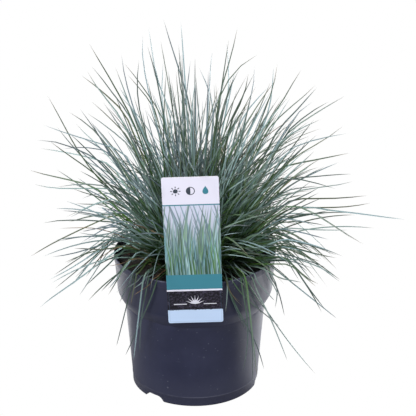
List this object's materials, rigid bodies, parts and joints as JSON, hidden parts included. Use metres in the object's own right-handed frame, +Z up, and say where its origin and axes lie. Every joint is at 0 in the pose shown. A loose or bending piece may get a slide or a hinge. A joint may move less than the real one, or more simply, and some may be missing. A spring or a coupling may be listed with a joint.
{
  "type": "potted blue fescue",
  "caption": "Clump of long narrow blue-green grass leaves in dark soil, in a round nursery pot with a wide collar, with a printed plant label hung over the rim.",
  "frame": {"origin": "middle of the pot's underside, on the surface that it stands on", "axes": "+Z up along the pot, -Y towards the front, where the label hangs, +X to the right as seen from the front"},
  "size_m": [0.394, 0.3455, 0.396],
  "materials": {
    "pot_plastic": "satin",
    "soil": "matte",
    "label_print": "satin",
    "leaf": "matte"
  },
  "bodies": {
    "root": {"pot": "pot_plastic", "soil": "soil", "label": "label_print", "leaf_tuft_01": "leaf", "leaf_tuft_02": "leaf", "leaf_tuft_03": "leaf", "leaf_tuft_04": "leaf", "leaf_tuft_05": "leaf", "leaf_tuft_06": "leaf", "leaf_tuft_07": "leaf", "leaf_tuft_08": "leaf", "leaf_tuft_09": "leaf", "leaf_tuft_10": "leaf", "leaf_tuft_11": "leaf", "leaf_tuft_12": "leaf", "leaf_tuft_13": "leaf", "leaf_tuft_14": "leaf", "leaf_tuft_15": "leaf", "leaf_tuft_16": "leaf", "leaf_tuft_17": "leaf", "leaf_tuft_18": "leaf", "leaf_tuft_19": "leaf", "leaf_tuft_20": "leaf", "leaf_tuft_21": "leaf", "leaf_tuft_22": "leaf", "leaf_tuft_23": "leaf", "leaf_tuft_24": "leaf", "leaf_tuft_25": "leaf", "leaf_tuft_26": "leaf", "leaf_tuft_27": "leaf", "leaf_tuft_28": "leaf", "leaf_tuft_29": "leaf", "leaf_tuft_30": "leaf", "leaf_tuft_31": "leaf", "leaf_tuft_32": "leaf", "leaf_tuft_33": "leaf", "leaf_tuft_34": "leaf", "leaf_tuft_35": "leaf", "leaf_tuft_36": "leaf", "leaf_tuft_37": "leaf", "leaf_tuft_38": "leaf", "leaf_tuft_39": "leaf", "leaf_tuft_40": "leaf", "leaf_tuft_41": "leaf", "leaf_tuft_42": "leaf", "leaf_tuft_43": "leaf", "leaf_tuft_44": "leaf", "leaf_tuft_45": "leaf", "leaf_tuft_46": "leaf", "leaf_tuft_47": "leaf", "leaf_tuft_48": "leaf"}
  },
  "joints": []
}
